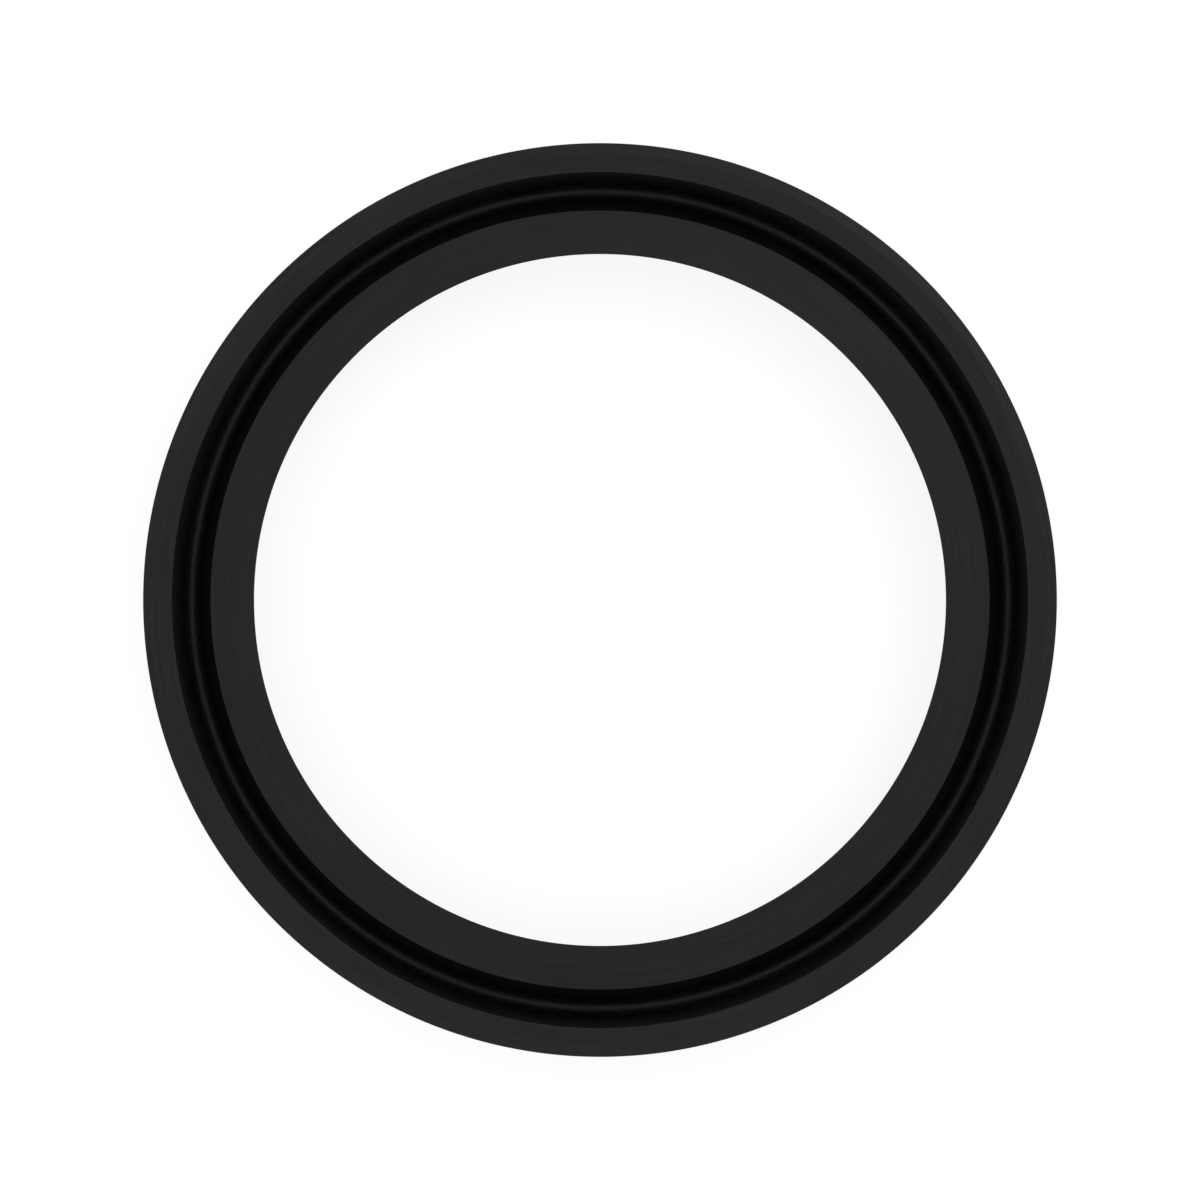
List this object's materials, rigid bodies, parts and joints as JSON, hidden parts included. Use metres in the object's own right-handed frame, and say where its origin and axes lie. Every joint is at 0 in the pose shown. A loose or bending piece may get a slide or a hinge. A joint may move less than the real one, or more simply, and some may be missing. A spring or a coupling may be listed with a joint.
{
  "type": "piston rod seal",
  "caption": "Round rubber lip seal for a piston rod, with a U-shaped section: the inner lip wipes the rod and the outer lip seals in the housing groove.",
  "frame": {"origin": "centre of the heel face, the flat back face that the ring lies on", "axes": "+Z along the ring's axis, from the heel towards the lips and the pressure side"},
  "size_m": [0.0512, 0.0512, 0.0073],
  "materials": {
    "rubber": "satin"
  },
  "bodies": {
    "root": {"rod_seal": "rubber"}
  },
  "joints": []
}
